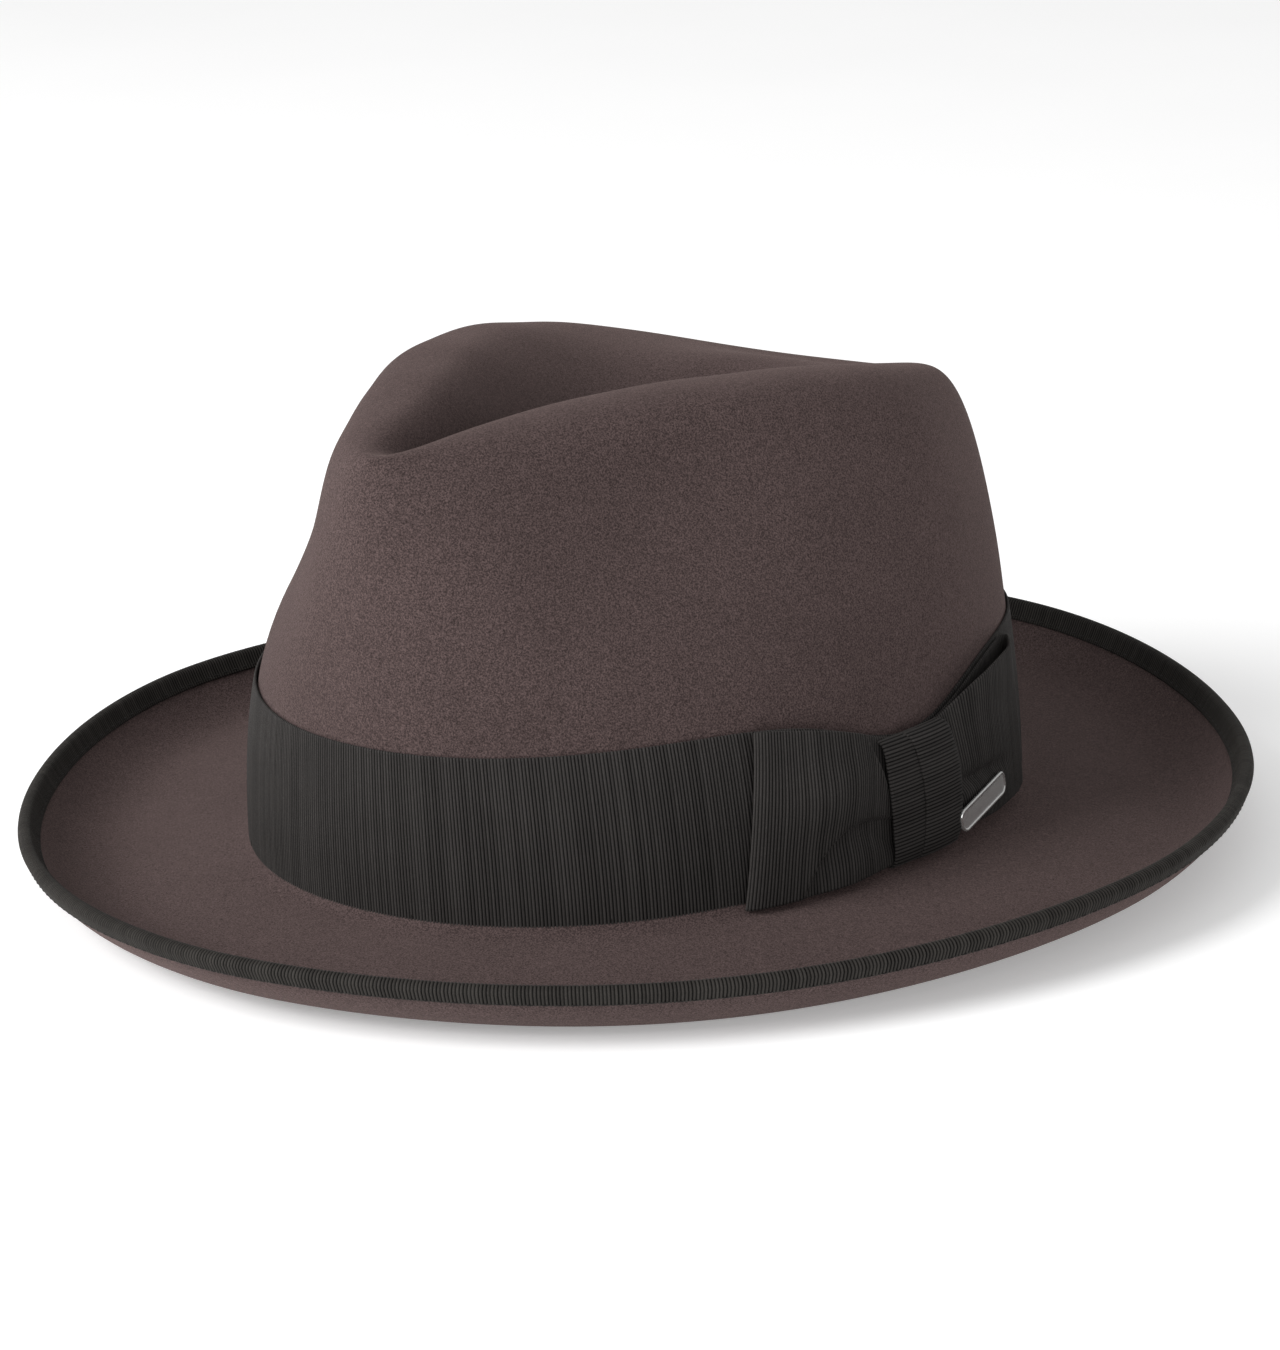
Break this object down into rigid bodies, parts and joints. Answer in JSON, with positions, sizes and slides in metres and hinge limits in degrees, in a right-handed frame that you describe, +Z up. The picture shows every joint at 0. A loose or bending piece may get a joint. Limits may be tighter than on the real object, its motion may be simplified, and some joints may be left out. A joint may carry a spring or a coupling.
{
  "type": "fedora hat",
  "caption": "Fur-felt fedora with a teardrop crown, two front pinches, a curled ribbon-bound brim, and a grosgrain hatband with a flat side bow and a small plain metal badge.",
  "frame": {"origin": "middle of the hat's plan, at the height of the lowest line of the brim's underside", "axes": "+Z up; the front of the hat looks along -Y; +X is the wearer's left, the side of the bow"},
  "size_m": [0.3026, 0.3082, 0.1202],
  "materials": {
    "felt": "short brushed fur-felt nap, mid brown-grey, finely mottled",
    "grosgrain": "ribbed grosgrain ribbon, dark grey, soft sheen on the ribs",
    "thread": "twisted sewing thread, near black",
    "badge_metal": "brushed face with a polished rim",
    "sweatband_leather": "smooth roan leather, satin, dark brown",
    "reed_plastic": "translucent off-white plastic rod",
    "tape": "plain woven cotton tape, dark grey",
    "satin": "glossy satin weave, warm grey",
    "label_paper": "blank woven label, off-white"
  },
  "bodies": {
    "root": {"felt_body": "felt", "brim_binding": "grosgrain", "binding_stitches": "thread", "hatband_ribbon": "grosgrain", "bow_front_loop": "grosgrain", "bow_rear_loop": "grosgrain", "bow_knot": "grosgrain", "badge_plate": "badge_metal", "badge_rivets": "badge_metal", "ribbon_tacks": "thread", "sweatband": "sweatband_leather", "sweatband_reed": "reed_plastic", "reed_tape": "tape", "sweatband_stitches": "thread", "sweatband_seam_tape": "tape", "sweatband_bow": "grosgrain", "lining_side": "satin", "lining_tip": "satin", "lining_cord": "satin", "size_label": "label_paper"}
  },
  "joints": []
}
